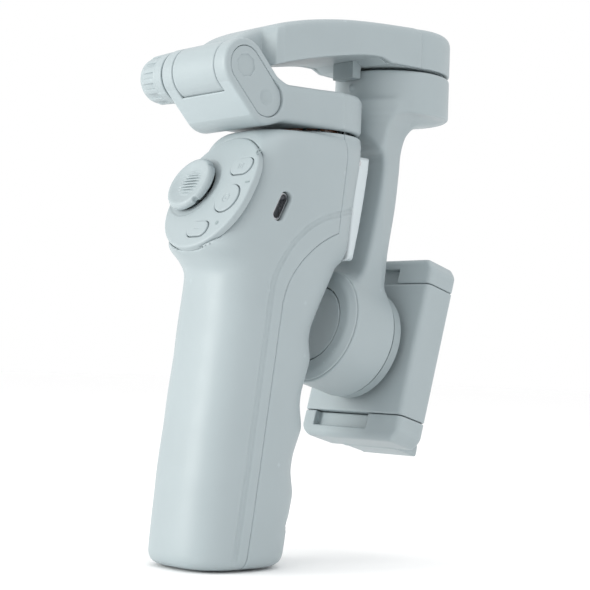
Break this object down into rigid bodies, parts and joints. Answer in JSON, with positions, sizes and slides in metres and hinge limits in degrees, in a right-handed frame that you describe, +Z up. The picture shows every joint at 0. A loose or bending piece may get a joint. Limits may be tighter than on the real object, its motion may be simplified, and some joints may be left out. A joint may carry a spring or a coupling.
{
  "type": "folding phone gimbal",
  "caption": "Folding handheld phone gimbal: leaning grip with joystick, keys and trigger, pan, tilt and roll motors, lockable fold hinge and self-centring spring clamp.",
  "frame": {"origin": "mouth of the tripod thread, in the middle of the flat foot", "axes": "+Z up along the pan axis; -Y is the control panel side, +Y the clamp side; +X the charging port side"},
  "size_m": [0.0549, 0.1102, 0.1732],
  "materials": {
    "shell_plastic": "fine satin moulded plastic, pale grey green",
    "trigger_plastic": "satin, slightly lighter than the shells",
    "gear_plastic": "natural acetal",
    "hub_plastic": "satin moulded plastic",
    "mark_print": "grey print",
    "black_plastic": "moulded",
    "circuit_board": "solder mask",
    "cell_wrap": "shrink wrap",
    "brass": "turned",
    "steel": "turned",
    "motor_iron": "black oxide",
    "magnet": "nickel plated",
    "copper_wire": "enamelled wire",
    "rubber": "soft, matt"
  },
  "bodies": {
    "handle": {"front_shell": "shell_plastic", "rear_shell": "shell_plastic", "tripod_nut": "brass", "shell_screws": "steel", "control_panel": "shell_plastic", "panel_marks": "mark_print", "joystick_module": "black_plastic", "button_switches": "black_plastic", "panel_board": "circuit_board", "main_board": "circuit_board", "battery_cell": "cell_wrap", "battery_holder": "black_plastic", "usb_port": "steel", "trigger_pin": "steel", "trigger_switch": "black_plastic", "pan_post": "steel", "pan_bearings": "steel", "pan_stator": "motor_iron", "pan_coils": "copper_wire"},
    "stick_ring": {"joystick_gimbal": "black_plastic"},
    "stick": {"joystick_cap": "shell_plastic"},
    "mode_key": {"mode_button": "shell_plastic"},
    "record_key": {"record_button": "shell_plastic"},
    "power_key": {"power_button": "shell_plastic"},
    "trigger_lever": {"trigger": "trigger_plastic"},
    "pan_link": {"pan_arm": "shell_plastic", "pan_bell": "motor_iron", "pan_magnets": "magnet", "pan_shaft": "steel", "hinge_pin": "steel", "hinge_cap": "shell_plastic"},
    "knob": {"lock_knob": "shell_plastic"},
    "upper_link": {"upper_arm": "shell_plastic", "upper_arm_cover": "shell_plastic", "stop_block": "hub_plastic", "hinge_bushes": "brass", "tilt_post": "steel", "tilt_bearings": "steel", "tilt_stator": "motor_iron", "tilt_coils": "copper_wire"},
    "roll_link": {"roll_arm": "shell_plastic", "arm_cover": "shell_plastic", "tilt_bell": "motor_iron", "tilt_magnets": "magnet", "tilt_shaft": "steel", "roll_post": "steel", "roll_bearings": "steel", "roll_stator": "motor_iron", "roll_coils": "copper_wire"},
    "clamp": {"roll_hub": "hub_plastic", "roll_bell": "motor_iron", "roll_magnets": "magnet", "roll_shaft": "steel", "clamp_body": "shell_plastic", "clamp_back": "rubber"},
    "jaw_up": {"upper_jaw": "shell_plastic", "jaw_pads_upper": "rubber"},
    "jaw_down": {"lower_jaw": "shell_plastic", "jaw_pads_lower": "rubber"},
    "pinion": {"clamp_pinion": "gear_plastic"}
  },
  "joints": [
    {"name": "pan_turn", "type": "hinge", "parent": "handle", "child": "pan_link", "pos_m": [0, 0.035, 0.134], "axis": [0, 0, 1], "range_deg": [-16, 16]},
    {"name": "fold", "type": "hinge", "parent": "pan_link", "child": "upper_link", "pos_m": [0, -0.0037, 0.1502], "axis": [1, 0, 0], "range_deg": [0, 90]},
    {"name": "lock_knob_turn", "type": "hinge", "parent": "pan_link", "child": "knob", "pos_m": [-0.02, -0.0037, 0.1502], "axis": [1, 0, 0], "range_deg": [0, 270]},
    {"name": "tilt_turn", "type": "hinge", "parent": "upper_link", "child": "roll_link", "pos_m": [0, 0.072, 0.1592], "axis": [0, 0, 1], "range_deg": [-120, 120]},
    {"name": "roll_turn", "type": "hinge", "parent": "roll_link", "child": "clamp", "pos_m": [0, 0.0402, 0.0741], "axis": [0, -0.9659, 0.2588], "range_deg": [-100, 100]},
    {"name": "clamp_open", "type": "slide", "parent": "clamp", "child": "jaw_up", "axis": [0, 0.2588, 0.9659], "range_m": [0, 0.0125], "stiffness_N_per_m": 120, "springref_m": -0.01},
    {"name": "lower_jaw_slide", "type": "slide", "parent": "clamp", "child": "jaw_down", "axis": [0, -0.2588, -0.9659], "range_m": [0, 0.0125]},
    {"name": "pinion_spin", "type": "hinge", "parent": "clamp", "child": "pinion", "pos_m": [0, 0.06947, 0.06626], "axis": [0, -0.9659, 0.2588], "range_deg": [-150, 1]},
    {"name": "trigger_pull", "type": "hinge", "parent": "handle", "child": "trigger_lever", "pos_m": [0, 0.0434, 0.126], "axis": [-1, 0, 0], "range_deg": [0, 5], "stiffness_Nm_per_rad": 0.5, "springref_deg": -11.46},
    {"name": "stick_pitch", "type": "hinge", "parent": "handle", "child": "stick_ring", "pos_m": [-0.0086, 0.00356, 0.11012], "axis": [1, 0, 0], "range_deg": [-4, 4], "stiffness_Nm_per_rad": 0.05},
    {"name": "stick_yaw", "type": "hinge", "parent": "stick_ring", "child": "stick", "pos_m": [-0.0086, 0.00356, 0.11012], "axis": [0, 0.4695, 0.8829], "range_deg": [-4, 4], "stiffness_Nm_per_rad": 0.05},
    {"name": "mode_press", "type": "slide", "parent": "handle", "child": "mode_key", "axis": [0, 0.8829, -0.4695], "range_m": [0, 0.0008], "stiffness_N_per_m": 600, "springref_m": -0.0004},
    {"name": "record_press", "type": "slide", "parent": "handle", "child": "record_key", "axis": [0, 0.8829, -0.4695], "range_m": [0, 0.0008], "stiffness_N_per_m": 600, "springref_m": -0.0004},
    {"name": "power_press", "type": "slide", "parent": "handle", "child": "power_key", "axis": [0, 0.8829, -0.4695], "range_m": [0, 0.0008], "stiffness_N_per_m": 600, "springref_m": -0.0004}
  ],
  "couplings": [
    {"joint": "lower_jaw_slide", "follows": "clamp_open", "ratio": 1},
    {"joint": "pinion_spin", "follows": "clamp_open", "rad_per_m": -208.33}
  ]
}
